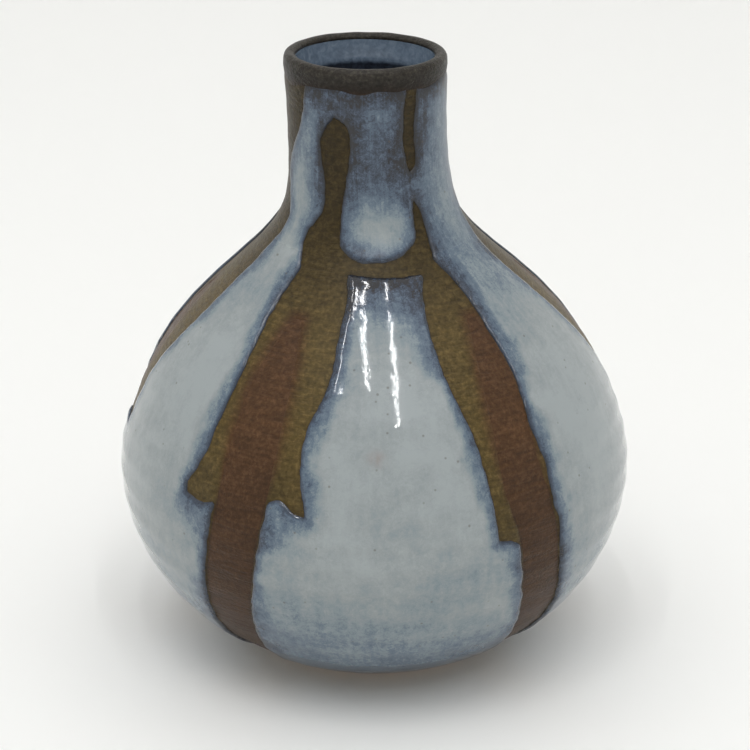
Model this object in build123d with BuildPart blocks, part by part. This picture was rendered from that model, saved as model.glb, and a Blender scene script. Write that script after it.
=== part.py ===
from build123d import *
from math import asin, cos, degrees, radians, sin, sqrt
import os

# Ceramic bud vase: one thrown stoneware pot and the glaze coats fired onto it.
# Millimetres. The origin is the centre of the foot, on the surface it stands on,
# with +Z up and the front of the vase towards -Y.

# Clay pot
belly_height = 47.5  # where the belly is widest
belly_across = 61.5  # radii of the ellipse below that, outside
belly_up = 51.0
shoulder_points = [  # radius and height, from the widest place to the lip
    (belly_across, belly_height),
    (59.1, 60.0),
    (54.1, 72.0),
    (45.7, 84.0),
    (33.5, 96.0),
    (25.3, 104.0),
    (20.2, 112.0),
    (18.4, 120.0),
    (18.0, 129.0),
    (18.2, 140.0),
    (18.74, 147.4),
]
lip_height = 147.4  # centre of the rounded lip
lip_radius = 17.57
lip_round = 1.17

# Hollow inside the clay
hollow_across = 58.3
hollow_up = 43.5
hollow_floor = 6.5
hollow_points = [
    (hollow_across, belly_height),
    (51.4, 70.5),
    (43.5, 82.0),
    (31.5, 94.0),
    (23.2, 102.0),
    (17.9, 111.0),
    (15.9, 121.0),
]
bore_radius = 15.9
bore_low = 121.0
bore_high = 143.0

# Trimmed foot
foot_outer = 27.6
foot_inner = 23.6
foot_recess = 2.2
foot_round = 0.6

# Coats, as distances out from the clay, and the heights where each one ends
iron_top = 0.25
olive_top = 0.45
pale_bottom = 0.47  # a hair above the olive coat, so the two solids stay apart
pale_top = 1.0
liner_depth = 0.25
iron_low = 3.4
olive_low = 4.4
pale_low = 5.4
rim_band = 143.9  # the olive and pale coats stop here, below a bare brown lip
pale_shrink = 0.4  # the pale coat draws back this much from a narrow stroke's edge
past_surface = 80.0  # how far a cut runs out from the axis

# Brush strokes that kept the pale coat off. Each is drawn square on, in the upright
# plane that faces it: the plane's angle round the vase (0 is the front, and positive
# goes towards +X), then its outline as smooth runs of (across, height) that meet at
# corners.
wide_strokes = [
    (-27, [  # front left, with a finger up the neck
        [(1.5, 137.5), (4.4, 135.6), (5.1, 131.5), (3.8, 121.5), (2.9, 114.5), (4.0, 107.0), (7.0, 102.7)],
        [(7.0, 102.7), (8.6, 98.5), (10.4, 90.0), (11.5, 83.5), (9.9, 75.5), (10.1, 67.0), (13.0, 56.8)],
        [(13.0, 56.8), (9.8, 57.8), (6.6, 59.8), (3.0, 58.3)],
        [(3.0, 58.3), (-9.5, 56.5)],
        [(-9.5, 56.5), (-13.8, 55.4), (-18.6, 55.9)],
        [(-18.6, 55.9), (-18.7, 58.3)],
        [(-18.7, 58.3), (-15.2, 64.5), (-12.6, 73.0), (-9.8, 85.5), (-8.2, 94.0), (-5.0, 102.4)],
        [(-5.0, 102.4), (-5.7, 109.5), (-3.0, 113.2),
         (-1.5, 117.0), (-1.8, 125.0), (-1.8, 132.5), (1.5, 137.5)],
    ]),
    (7, [  # bridge across the front, under the neck
        [(-9.6, 108.0), (-7.6, 105.8), (-2.4, 105.0), (3.9, 106.0), (8.4, 109.2)],
        [(8.4, 109.2), (11.0, 105.5), (9.0, 102.4)],
        [(9.0, 102.4), (5.5, 102.3), (-1.5, 102.3), (-9.2, 102.9)],
        [(-9.2, 102.9), (-12.0, 105.5), (-9.6, 108.0)],
    ]),
    (33, [  # front right, with a thin tip up the neck
        [(-0.2, 117.7), (-0.9, 113.0), (-1.7, 109.2), (-3.6, 102.4)],
        [(-3.6, 102.4), (-6.0, 98.7), (-9.0, 92.0),
         (-10.1, 83.0), (-8.6, 74.0), (-7.1, 60.6), (-6.3, 49.8)],
        [(-6.3, 49.8), (-4.2, 49.4), (-0.5, 47.9)],
        [(-0.5, 47.9), (11.2, 44.5)],
        [(11.2, 44.5), (11.4, 49.5), (10.0, 54.5), (9.3, 62.5),
         (7.0, 72.0), (5.6, 87.0), (4.8, 96.5), (0.7, 104.6)],
        [(0.7, 104.6), (1.4, 109.0), (1.5, 114.0), (-0.2, 117.7)],
    ]),
    (33, [  # thin line down the right of the neck
        [(2.0, 150.0), (1.6, 140.0), (1.3, 131.5), (0.7, 125.0), (-0.4, 124.3)],
        [(-0.4, 124.3), (-1.5, 129.0), (-1.7, 135.0), (-1.2, 142.0), (-0.6, 150.0)],
        [(-0.6, 150.0), (2.0, 150.0)],
    ]),
    (-88, [  # left side, from the lip down
        [(13.0, 150.0), (12.4, 140.5), (9.2, 131.0),
         (5.4, 122.5), (6.4, 116.5), (8.7, 111.5), (8.2, 104.0)],
        [(8.2, 104.0), (9.7, 95.6), (11.0, 86.0), (8.8, 76.0), (7.6, 66.0), (6.0, 58.0)],
        [(6.0, 58.0), (1.5, 60.5), (-5.0, 57.5), (-15.5, 58.5)],
        [(-15.5, 58.5), (-12.5, 70.0), (-9.5, 92.0), (-8.0, 108.0), (-9.0, 130.0), (-9.0, 150.0)],
        [(-9.0, 150.0), (13.0, 150.0)],
    ]),
    (95, [  # right side, from the lip down
        [(-1.0, 150.0), (0.5, 132.0), (-0.2, 117.5), (-3.8, 109.5), (-7.0, 103.0)],
        [(-7.0, 103.0), (-9.0, 92.5), (-8.4, 82.5), (-6.2, 73.0), (-6.0, 58.0)],
        [(-6.0, 58.0), (-1.0, 55.0), (4.0, 58.5), (13.5, 55.0)],
        [(13.5, 55.0), (12.6, 72.0), (11.0, 92.0), (6.5, 108.0), (7.4, 128.0), (8.0, 150.0)],
        [(8.0, 150.0), (-1.0, 150.0)],
    ]),
    (154, [  # back right
        [(-6.0, 150.0), (-5.0, 128.0), (-5.5, 110.0), (-9.5, 94.0), (-11.0, 76.0), (-14.5, 54.5)],
        [(-14.5, 54.5), (-9.0, 53.5), (-4.0, 57.5), (4.0, 54.5), (10.5, 51.5)],
        [(10.5, 51.5), (9.6, 66.0), (11.0, 82.0), (7.5, 100.0), (4.4, 114.0), (5.5, 132.0), (6.0, 150.0)],
        [(6.0, 150.0), (-6.0, 150.0)],
    ]),
    (-147, [  # back left
        [(-7.0, 150.0), (-5.5, 130.0), (-4.5, 112.0),
         (-8.5, 98.0), (-9.5, 80.0), (-11.0, 64.0), (-10.5, 53.0)],
        [(-10.5, 53.0), (-4.5, 56.0), (3.0, 55.0), (9.0, 58.5), (15.5, 56.0)],
        [(15.5, 56.0), (11.5, 70.0), (10.0, 88.0), (6.5, 104.0), (5.0, 118.0), (6.0, 136.0), (5.5, 150.0)],
        [(5.5, 150.0), (-7.0, 150.0)],
    ]),
]

# Narrower strokes inside those, made earlier, that kept the olive coat off as well.
# They run on below the wide ones to the foot. Angle of the facing plane, then rows of
# height, centre and half width, from the top down.
narrow_strokes = [
    (-31, [(94, 1.5, 1.0), (84, 1.3, 4.6), (72, 1.6, 5.9), (58, 1.1, 6.3), (47, -0.5, 6.3),
           (37, -2.5, 6.3), (27, -4.7, 5.9), (18, -6.2, 5.5), (2, -7.6, 5.0)]),
    (37, [(94, 0.4, 1.0), (84, -0.6, 4.0), (72, -2.1, 4.9), (60, -1.6, 5.8), (50, 0.5, 5.6),
          (38, 2.8, 5.5), (28, 5.5, 5.6), (18, 7.4, 5.0), (2, 8.2, 4.4)]),
    (-94, [(92, 1.0, 1.0), (80, 0.6, 5.2), (60, 0.2, 6.2),
           (40, -0.4, 6.2), (22, -1.6, 5.9), (2, -2.4, 5.2)]),
    (100, [(95, 0.0, 1.0), (82, 0.2, 5.0), (62, 0.4, 6.2), (42, 1.0, 6.3), (22, 1.8, 5.8), (2, 2.4, 5.0)]),
    (153, [(93, 0.6, 1.0), (80, 0.2, 5.2), (60, 0.0, 6.0), (40, 1.2, 6.1), (22, 2.4, 5.7), (2, 3.0, 5.0)]),
    (-147, [(94, 0.4, 1.0), (82, 0.6, 4.8), (62, 0.6, 6.1),
            (42, -0.6, 6.2), (22, -2.2, 5.8), (2, -3.0, 5.2)]),
]

# Pale panels that the strokes leave, each with the angle, radius and height of a spot on it
pale_panels = {
    "pale_glaze_front_panel": (0, 56.0, 70.0),
    "pale_glaze_neck_and_sides": (0, 19.0, 125.0),
    "pale_glaze_back_right_panel": (125, 56.0, 70.0),
    "pale_glaze_back_panel": (-177, 56.0, 70.0),
    "pale_glaze_back_left_panel": (-118, 56.0, 70.0),
}

upright = [(0, 1), (0, 1)]  # both ends of the clay's side run straight up
clay_side = Spline(*shoulder_points, tangents=upright)
hollow_side = Spline(*hollow_points, tangents=upright)
lip_side = Spline((bore_radius, bore_high), (lip_radius - lip_round, lip_height), tangents=upright)


def moved_out(line, gap):
    """Points along a line, each moved square to it, away from the axis."""
    steps = [step / 20 for step in range(21)]
    return [line @ step + Vector((line % step).Y, -(line % step).X) * gap for step in steps]


def belly_arc(across, up, low):
    """The ellipse of the lower belly, from the height low up to the widest place."""
    start = -degrees(asin((belly_height - low) / up))
    return EllipticalCenterArc((0, belly_height), across, up, start, arc_size=-start)


def outer_line(gap, low):
    """Belly, shoulder and neck at a distance from the clay: the low and high ends."""
    arc = belly_arc(belly_across + gap, belly_up + gap, low)
    side = Spline(*moved_out(clay_side, gap), tangents=upright)
    return arc @ 0, side @ 1


def lip_line(gap):
    """The rounded lip at a distance from the clay: its inner end."""
    arc = CenterArc((lip_radius, lip_height), lip_round + gap, 0, 180)
    return arc @ 1


def inner_line(gap):
    """The hollow's line at a distance inside the clay, down to the axis: its two ends."""
    across, up, floor = hollow_across - gap, hollow_up - gap, hollow_floor + gap
    lip = Spline(*moved_out(lip_side, -gap), tangents=upright)
    Line((bore_radius - gap, bore_high), (bore_radius - gap, bore_low))
    Spline(*moved_out(hollow_side, -gap), tangents=upright)
    arc = belly_arc(across, up, floor)
    Line(arc @ 0, (0, floor))
    return lip @ 1, Vector(0, floor)


def square_on(angle):
    """Upright plane through the axis that faces outwards at an angle round the vase."""
    turn = radians(angle)
    return Plane(origin=(0, 0, 0), x_dir=(cos(turn), sin(turn), 0), z_dir=(sin(turn), -cos(turn), 0))


def wide_outline(angle, runs):
    """The face of a wide stroke, in the plane that faces it."""
    with BuildSketch(square_on(angle)) as outline:
        with BuildLine():
            for run in runs:
                if len(run) == 2:
                    Line(*run)
                else:
                    Spline(*run)
        make_face()
    return outline.sketch


def narrow_outline(angle, rows, wider):
    """The face of a narrow stroke, in the plane that faces it, wider at each side."""
    with BuildSketch(square_on(angle)) as outline:
        with BuildLine():
            left = Spline(*[(centre - half - wider, height) for height, centre, half in rows])
            right = Spline(*[(centre + half + wider, height) for height, centre, half in rows])
            Line(left @ 0, right @ 0)
            Line(left @ 1, right @ 1)
        make_face()
    return outline.sketch


def save(name, piece):
    """Labels a finished piece and writes it."""
    piece.label = name
    export_step(piece, f"parts/{name}.step")


os.makedirs("parts", exist_ok=True)

# Thrown pot with its trimmed foot, bare clay where no coat covers it
foot_meets_belly = belly_height - belly_up * sqrt(1 - (foot_outer / belly_across) ** 2)
with BuildPart() as stoneware_body:
    with BuildSketch(Plane.XZ):
        with BuildLine():
            low, _ = outer_line(0, foot_meets_belly)
            lip_line(0)
            _, inside = inner_line(0)
            recess = [(0, foot_recess), (foot_inner, foot_recess), (foot_inner, 0)]
            Polyline(inside, *recess, (foot_outer, 0), low)
        make_face()
    revolve(axis=Axis.Z)
    fillet(stoneware_body.edges().group_by(Axis.Z)[0], foot_round)
save("stoneware_body", stoneware_body.part)

# Clear blue glaze poured inside, up to the lip
with BuildPart() as liner_glaze:
    with BuildSketch(Plane.XZ):
        with BuildLine():
            clay_end, clay_floor = inner_line(0)
            glaze_end, glaze_floor = inner_line(liner_depth)
            Line(clay_end, glaze_end)
            Line(clay_floor, glaze_floor)
        make_face()
    revolve(axis=Axis.Z)
save("liner_glaze", liner_glaze.part)

# Iron-brown coat, all over the outside and across the lip
with BuildPart() as iron_brown_coat:
    with BuildSketch(Plane.XZ):
        with BuildLine():
            clay_low, _ = outer_line(0, iron_low)
            coat_low, _ = outer_line(iron_top, iron_low)
            Line(clay_low, coat_low)
            Line(lip_line(0), lip_line(iron_top))
        make_face()
    revolve(axis=Axis.Z)
save("iron_brown_coat", iron_brown_coat.part)

# Olive coat over that, kept off the narrow strokes
with BuildPart() as olive_coat:
    with BuildSketch(Plane.XZ):
        with BuildLine():
            under_low, under_high = outer_line(iron_top, olive_low)
            over_low, over_high = outer_line(olive_top, olive_low)
            Line(under_low, over_low)
            Line(under_high, over_high)
        make_face()
    revolve(axis=Axis.Z)
    split(bisect_by=Plane.XY.offset(rim_band), keep=Keep.BOTTOM)
    for angle, rows in narrow_strokes:
        extrude(narrow_outline(angle, rows, 0), amount=past_surface, mode=Mode.SUBTRACT)
save("olive_coat", olive_coat.part)

# Pale floating-blue coat, kept off every stroke, which leaves five separate panels
with BuildPart() as pale_glaze:
    with BuildSketch(Plane.XZ):
        with BuildLine():
            under_low, under_high = outer_line(pale_bottom, pale_low)
            over_low, over_high = outer_line(pale_top, pale_low)
            Line(under_low, over_low)
            Line(under_high, over_high)
        make_face()
    revolve(axis=Axis.Z)
    split(bisect_by=Plane.XY.offset(rim_band), keep=Keep.BOTTOM)
    for angle, runs in wide_strokes:
        extrude(wide_outline(angle, runs), amount=past_surface, mode=Mode.SUBTRACT)
    for angle, rows in narrow_strokes:
        extrude(narrow_outline(angle, rows, pale_shrink), amount=past_surface, mode=Mode.SUBTRACT)

for name, (angle, radius, height) in pale_panels.items():
    spot = square_on(angle).z_dir * radius + Vector(0, 0, height)
    with BuildPart() as panel:
        add(pale_glaze.solids().sort_by_distance(spot)[0])
    save(name, panel.part)
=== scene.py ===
from math import acos, pi, radians

import bpy
import numpy as np
from mathutils import Matrix, Vector, kdtree, noise


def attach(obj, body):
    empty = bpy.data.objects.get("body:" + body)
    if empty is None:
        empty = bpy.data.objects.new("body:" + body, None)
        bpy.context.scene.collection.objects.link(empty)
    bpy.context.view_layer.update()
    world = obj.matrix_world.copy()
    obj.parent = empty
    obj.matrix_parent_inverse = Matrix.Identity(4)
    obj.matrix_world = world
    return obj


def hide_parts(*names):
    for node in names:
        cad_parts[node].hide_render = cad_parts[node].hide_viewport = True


# Thrown stoneware bud vase with brushed strokes between a pale floating-blue glaze.
# Lengths in the settings are mm. Turns are degrees round the axis: 0 faces -Y, + goes to +X.
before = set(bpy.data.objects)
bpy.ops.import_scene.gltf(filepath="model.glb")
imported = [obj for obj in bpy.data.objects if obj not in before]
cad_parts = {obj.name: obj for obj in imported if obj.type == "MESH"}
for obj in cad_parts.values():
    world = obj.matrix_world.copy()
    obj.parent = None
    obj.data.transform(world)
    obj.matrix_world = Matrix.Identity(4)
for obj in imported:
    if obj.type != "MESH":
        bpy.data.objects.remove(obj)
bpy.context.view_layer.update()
mm = 0.001
print("frame loaded:", len(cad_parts), "nodes")

pot = {
    "bellyHeight": 47.5,  # where the belly is widest
    "bellyAcross": 61.5,  # below that the side is part of an ellipse
    "bellyUp": 51.0,
    "shoulder": [(61.5, 47.5), (59.1, 60.0), (54.1, 72.0), (45.7, 84.0), (33.5, 96.0), (25.3, 104.0),
                 (20.2, 112.0), (18.4, 120.0), (18.0, 129.0), (18.2, 140.0), (18.74, 147.4)],
    "lipRadius": 17.57,
    "lipHeight": 147.4,
    "lipRound": 1.17,
    "hollowAcross": 58.3,
    "hollowUp": 43.5,
    "hollowFloor": 6.5,
    "hollow": [(58.3, 47.5), (51.4, 70.5), (43.5, 82.0), (31.5, 94.0), (23.2, 102.0), (17.9, 111.0),
               (15.9, 121.0)],
    "boreHigh": 143.0,
    "footOuter": 27.6,
    "footInner": 23.6,
    "footRecess": 2.2,
    "footRound": 0.6,
    "ringPitch": 6.3,  # throwing rings left by the fingers
    "ringDepth": 0.09,
    "neckLean": -2.7,  # the neck was pushed a little to one side
    "leanFrom": 80,
    "leanOver": 62,
    "oval": 0.25,
}


def smoothStep(value):
    value = np.clip(value, 0, 1)
    return value * value * (3 - 2 * value)


def smoothLine(points, upright=False, steps=14):
    # one smooth curve through given points, upright at both ends where asked
    points = np.array(points, float)
    gaps = np.linalg.norm(np.diff(points, axis=0), axis=1)
    count = len(points)
    system = np.zeros((count, count))
    right = np.zeros((count, 2))
    for i in range(1, count - 1):
        before, after = gaps[i - 1], gaps[i]
        system[i, i - 1:i + 2] = after, 2 * (before + after), before
        comingIn, goingOut = points[i] - points[i - 1], points[i + 1] - points[i]
        right[i] = 3 * (before * goingOut / after + after * comingIn / before)
    if upright:
        system[0, 0] = system[-1, -1] = 1
        right[0] = right[-1] = np.sign(points[-1, 1] - points[0, 1]) * np.array((0, 1))
    else:
        system[0, :2] = 2, 1
        system[-1, -2:] = 1, 2
        right[0] = 3 * (points[1] - points[0]) / gaps[0]
        right[-1] = 3 * (points[-1] - points[-2]) / gaps[-1]
    slopes = np.linalg.solve(system, right)
    line = []
    for i, gap in enumerate(gaps):
        for t in np.arange(steps) / steps:
            start = (1 + 2 * t) * (1 - t) ** 2 * points[i] + t * (1 - t) ** 2 * gap * slopes[i]
            end = t * t * (3 - 2 * t) * points[i + 1] + t * t * (t - 1) * gap * slopes[i + 1]
            line.append(start + end)
    line.append(points[-1])
    return np.array(line)


def arcLine(centre, across, up, start, end, steps=60):
    turn = np.linspace(start, end, steps)
    return np.stack((centre[0] + across * np.cos(turn), centre[1] + up * np.sin(turn)), axis=1)


def joined(*lines):
    # lines end to end, without the doubled points where they meet
    points = np.concatenate(lines)
    apart = np.linalg.norm(np.diff(points, axis=0), axis=1) > 1e-4
    return points[np.concatenate(([True], apart))]


def spaced(line, gap):
    # the same line with points an even gap apart
    along = np.concatenate(([0], np.cumsum(np.linalg.norm(np.diff(line, axis=0), axis=1))))
    marks = np.linspace(0, along[-1], max(2, int(round(along[-1] / gap)) + 1))
    return np.stack([np.interp(marks, along, line[:, k]) for k in (0, 1)], axis=1)


def squareOut(line):
    # the direction square to each point of a line, on its right-hand side
    way = np.gradient(line, axis=0)
    way /= np.linalg.norm(way, axis=1)[:, None]
    return np.stack((way[:, 1], -way[:, 0]), axis=1)


def outsideLine():
    low = -acos(pot["footOuter"] / pot["bellyAcross"])
    belly = arcLine((0, pot["bellyHeight"]), pot["bellyAcross"], pot["bellyUp"], low, 0, 120)
    lip = arcLine((pot["lipRadius"], pot["lipHeight"]), pot["lipRound"], pot["lipRound"], 0, pi)
    return joined(belly, smoothLine(pot["shoulder"], True)), lip


def insideLine():
    # from the lip down to the middle of the floor
    lipEnd = (pot["lipRadius"] - pot["lipRound"], pot["lipHeight"])
    bore = pot["hollow"][-1][0]
    lip = smoothLine([lipEnd, (bore, pot["boreHigh"])], True)
    side = smoothLine(pot["hollow"][::-1], True)
    reach = pot["bellyHeight"] - pot["hollowFloor"]
    low = -np.arcsin(reach / pot["hollowUp"])
    belly = arcLine((0, pot["bellyHeight"]), pot["hollowAcross"], pot["hollowUp"], 0, low, 80)
    floor = np.array([(radius, pot["hollowFloor"]) for radius in np.linspace(belly[-1][0], 0, 12)])
    return joined(lip, side, belly, floor)


def throwingRings(z, turn):
    # the spiral that the fingers left, from -1 in its grooves to 1 on its crests
    return np.sin(2 * pi * z / pot["ringPitch"] + turn + 0.5 * np.sin(z / 9))


def handThrown(points):
    # what the wheel and the hand left: rings, a leaning neck and a belly that is not quite round
    x, y, z = points.T
    radius = np.hypot(x, y)
    turn = np.arctan2(x, -y)
    # the rings are deepest on the belly, and gone at the foot, the lip and the axis
    strength = smoothStep((z - 5) / 8) * (1 - 0.6 * smoothStep((z - 60) / 25)) * (1 - smoothStep((z - 138) / 6))
    push = pot["ringDepth"] * strength * throwingRings(z, turn) * smoothStep(radius / 12)
    push += pot["oval"] * np.cos(2 * turn + 0.6) * smoothStep((z - 10) / 30) * radius / pot["bellyAcross"]
    share = 1 + push / np.maximum(radius, 1)
    lean = pot["neckLean"] * smoothStep((z - pot["leanFrom"]) / pot["leanOver"])
    return np.stack((x * share + lean, y * share, z), axis=1)


sideLine, lipLine = outsideLine()
sideLine = spaced(sideLine, 0.4)
clay = joined(sideLine, lipLine)
clayOut = squareOut(clay)
clayAlong = np.concatenate(([0], np.cumsum(np.linalg.norm(np.diff(clay, axis=0), axis=1))))
sideLength = clayAlong[len(sideLine) - 1]
lipLength = clayAlong[-1] - sideLength

grid = {
    "columns": 504,  # 0.8 mm apart on the belly
    "sideRows": 240,
    "lipRows": 24,
    "middle": 0.7,  # the coats' depth where the strokes' edges are measured
}
rowAlong = np.concatenate((
    np.linspace(0, sideLength, grid["sideRows"] + 1),
    sideLength + np.linspace(0, lipLength, grid["lipRows"] + 1)[1:],
))
rowPlace = np.stack([np.interp(rowAlong, clayAlong, clay[:, k]) for k in (0, 1)], axis=1)
rowOut = np.stack([np.interp(rowAlong, clayAlong, clayOut[:, k]) for k in (0, 1)], axis=1)
rowOut /= np.linalg.norm(rowOut, axis=1)[:, None]
columnTurn = np.arange(grid["columns"]) * 2 * pi / grid["columns"]
turn, along = np.meshgrid(columnTurn, rowAlong)
high = np.repeat(rowPlace[:, 1:], grid["columns"], axis=1)
wide = np.repeat(rowPlace[:, :1], grid["columns"], axis=1)
measureWide = wide + grid["middle"]
surface = np.stack((measureWide * np.sin(turn), -measureWide * np.cos(turn), high), axis=2)


def ripple(size, seed):
    # smooth random field over the pot, about -1 to 1, with lumps of a size in mm
    places = surface.reshape(-1, 3) / size + seed * 17.3
    return 2 * np.array([noise.noise(place) for place in places.tolist()]).reshape(high.shape)


print("pot's line:", len(clay), "points, side", round(float(sideLength), 1), "mm")

# Each wide stroke: the turn it faces, then smooth runs of (across, height) that meet at corners
wideStrokes = [
    (-27, [  # front left, with a finger up the neck
        [(1.5, 137.5), (4.4, 135.6), (5.1, 131.5), (3.8, 121.5), (2.9, 114.5), (4.0, 107.0), (7.0, 102.7)],
        [(7.0, 102.7), (8.6, 98.5), (10.4, 90.0), (11.5, 83.5), (9.9, 75.5), (10.1, 67.0), (13.0, 56.8)],
        [(13.0, 56.8), (9.8, 57.8), (6.6, 59.8), (3.0, 58.3)],
        [(3.0, 58.3), (-9.5, 56.5)],
        [(-9.5, 56.5), (-13.8, 55.4), (-18.6, 55.9)],
        [(-18.6, 55.9), (-18.7, 58.3)],
        [(-18.7, 58.3), (-15.2, 64.5), (-12.6, 73.0), (-9.8, 85.5), (-8.2, 94.0), (-5.0, 102.4)],
        [(-5.0, 102.4), (-5.7, 109.5), (-3.0, 113.2), (-1.5, 117.0), (-1.8, 125.0), (-1.8, 132.5),
         (1.5, 137.5)],
    ]),
    (7, [  # bridge across the front, under the neck
        [(-9.6, 108.0), (-7.6, 105.8), (-2.4, 105.0), (3.9, 106.0), (8.4, 109.2)],
        [(8.4, 109.2), (11.0, 105.5), (9.0, 102.4)],
        [(9.0, 102.4), (5.5, 102.3), (-1.5, 102.3), (-9.2, 102.9)],
        [(-9.2, 102.9), (-12.0, 105.5), (-9.6, 108.0)],
    ]),
    (33, [  # front right, with a thin tip up the neck
        [(-0.2, 117.7), (-0.9, 113.0), (-1.7, 109.2), (-3.6, 102.4)],
        [(-3.6, 102.4), (-6.0, 98.7), (-9.0, 92.0), (-10.1, 83.0), (-8.6, 74.0), (-7.1, 60.6), (-6.3, 49.8)],
        [(-6.3, 49.8), (-4.2, 49.4), (-0.5, 47.9)],
        [(-0.5, 47.9), (11.2, 44.5)],
        [(11.2, 44.5), (11.4, 49.5), (10.0, 54.5), (9.3, 62.5), (7.0, 72.0), (5.6, 87.0), (4.8, 96.5),
         (0.7, 104.6)],
        [(0.7, 104.6), (1.4, 109.0), (1.5, 114.0), (-0.2, 117.7)],
    ]),
    (33, [  # thin line down the right of the neck
        [(2.0, 150.0), (1.6, 140.0), (1.3, 131.5), (0.7, 125.0), (-0.4, 124.3)],
        [(-0.4, 124.3), (-1.5, 129.0), (-1.7, 135.0), (-1.2, 142.0), (-0.6, 150.0)],
        [(-0.6, 150.0), (2.0, 150.0)],
    ]),
    (-88, [  # left side, from the lip down
        [(13.0, 150.0), (12.4, 140.5), (9.2, 131.0), (5.4, 122.5), (6.4, 116.5), (8.7, 111.5), (8.2, 104.0)],
        [(8.2, 104.0), (9.7, 95.6), (11.0, 86.0), (8.8, 76.0), (7.6, 66.0), (6.0, 58.0)],
        [(6.0, 58.0), (1.5, 60.5), (-5.0, 57.5), (-15.5, 58.5)],
        [(-15.5, 58.5), (-12.5, 70.0), (-9.5, 92.0), (-8.0, 108.0), (-9.0, 130.0), (-9.0, 150.0)],
        [(-9.0, 150.0), (13.0, 150.0)],
    ]),
    (95, [  # right side, from the lip down
        [(-1.0, 150.0), (0.5, 132.0), (-0.2, 117.5), (-3.8, 109.5), (-7.0, 103.0)],
        [(-7.0, 103.0), (-9.0, 92.5), (-8.4, 82.5), (-6.2, 73.0), (-6.0, 58.0)],
        [(-6.0, 58.0), (-1.0, 55.0), (4.0, 58.5), (13.5, 55.0)],
        [(13.5, 55.0), (12.6, 72.0), (11.0, 92.0), (6.5, 108.0), (7.4, 128.0), (8.0, 150.0)],
        [(8.0, 150.0), (-1.0, 150.0)],
    ]),
    (154, [  # back right
        [(-6.0, 150.0), (-5.0, 128.0), (-5.5, 110.0), (-9.5, 94.0), (-11.0, 76.0), (-14.5, 54.5)],
        [(-14.5, 54.5), (-9.0, 53.5), (-4.0, 57.5), (4.0, 54.5), (10.5, 51.5)],
        [(10.5, 51.5), (9.6, 66.0), (11.0, 82.0), (7.5, 100.0), (4.4, 114.0), (5.5, 132.0), (6.0, 150.0)],
        [(6.0, 150.0), (-6.0, 150.0)],
    ]),
    (-147, [  # back left
        [(-7.0, 150.0), (-5.5, 130.0), (-4.5, 112.0), (-8.5, 98.0), (-9.5, 80.0), (-11.0, 64.0), (-10.5, 53.0)],
        [(-10.5, 53.0), (-4.5, 56.0), (3.0, 55.0), (9.0, 58.5), (15.5, 56.0)],
        [(15.5, 56.0), (11.5, 70.0), (10.0, 88.0), (6.5, 104.0), (5.0, 118.0), (6.0, 136.0), (5.5, 150.0)],
        [(5.5, 150.0), (-7.0, 150.0)],
    ]),
]

# Each narrow stroke: the turn it faces, then rows of (height, centre, half width)
narrowStrokes = [
    (-31, [(94, 1.5, 1.0), (84, 1.3, 4.6), (72, 1.6, 5.9), (58, 1.1, 6.3), (47, -0.5, 6.3),
           (37, -2.5, 6.3), (27, -4.7, 5.9), (18, -6.2, 5.5), (2, -7.6, 5.0)]),
    (37, [(94, 0.4, 1.0), (84, -0.6, 4.0), (72, -2.1, 4.9), (60, -1.6, 5.8), (50, 0.5, 5.6),
          (38, 2.8, 5.5), (28, 5.5, 5.6), (18, 7.4, 5.0), (2, 8.2, 4.4)]),
    (-94, [(92, 1.0, 1.0), (80, 0.6, 5.2), (60, 0.2, 6.2), (40, -0.4, 6.2), (22, -1.6, 5.9), (2, -2.4, 5.2)]),
    (100, [(95, 0.0, 1.0), (82, 0.2, 5.0), (62, 0.4, 6.2), (42, 1.0, 6.3), (22, 1.8, 5.8), (2, 2.4, 5.0)]),
    (153, [(93, 0.6, 1.0), (80, 0.2, 5.2), (60, 0.0, 6.0), (40, 1.2, 6.1), (22, 2.4, 5.7), (2, 3.0, 5.0)]),
    (-147, [(94, 0.4, 1.0), (82, 0.6, 4.8), (62, 0.6, 6.1), (42, -0.6, 6.2), (22, -2.2, 5.8), (2, -3.0, 5.2)]),
]

strokeEdges = {
    "gap": 0.25,  # distance between the points that an edge is measured from
    "paleDrawsBack": 0.4,  # the pale coat stops this far outside a narrow stroke
    "shiver": 0.16,  # the melted glaze's edge wanders by this much
    "shiverSize": 2.2,
}


def wideOutline(runs):
    return spaced(joined(*[smoothLine(run) for run in runs]), strokeEdges["gap"])


def narrowOutline(rows, wider):
    left = smoothLine([(centre - half - wider, height) for height, centre, half in rows])
    right = smoothLine([(centre + half + wider, height) for height, centre, half in rows])
    return spaced(joined(left, right[::-1], left[:1]), strokeEdges["gap"])


def insideOutline(across, height, outline):
    # which of the points lie inside a closed outline
    found = np.zeros(across.shape, bool)
    for (u0, h0), (u1, h1) in zip(outline[:-1], outline[1:]):
        if h0 != h1:
            found ^= ((h0 > height) != (h1 > height)) & (across < u0 + (u1 - u0) * (height - h0) / (h1 - h0))
    return found


def insideStroke(places, facing, outline):
    # the same for places on the pot, seen square on from where the stroke faces
    way = radians(facing)
    across = places[..., 0] * np.cos(way) + places[..., 1] * np.sin(way)
    ahead = places[..., 0] * np.sin(way) - places[..., 1] * np.cos(way)
    height = places[..., 2]
    low, top = outline.min(axis=0) - 0.1, outline.max(axis=0) + 0.1
    near = (ahead > 0) & (across > low[0]) & (across < top[0]) & (height > low[1]) & (height < top[1])
    found = np.zeros(across.shape, bool)
    found[near] = insideOutline(across[near], height[near], outline)
    return found


def onPot(facing, outline):
    # an outline laid on the pot's side
    height = np.clip(outline[:, 1], clay[0, 1], pot["lipHeight"])
    radius = np.interp(height, sideLine[:, 1], sideLine[:, 0]) + grid["middle"]
    place = radians(facing) + np.arcsin(np.clip(outline[:, 0] / radius, -1, 1))
    return np.stack((radius * np.sin(place), -radius * np.cos(place), height), axis=1)


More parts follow.
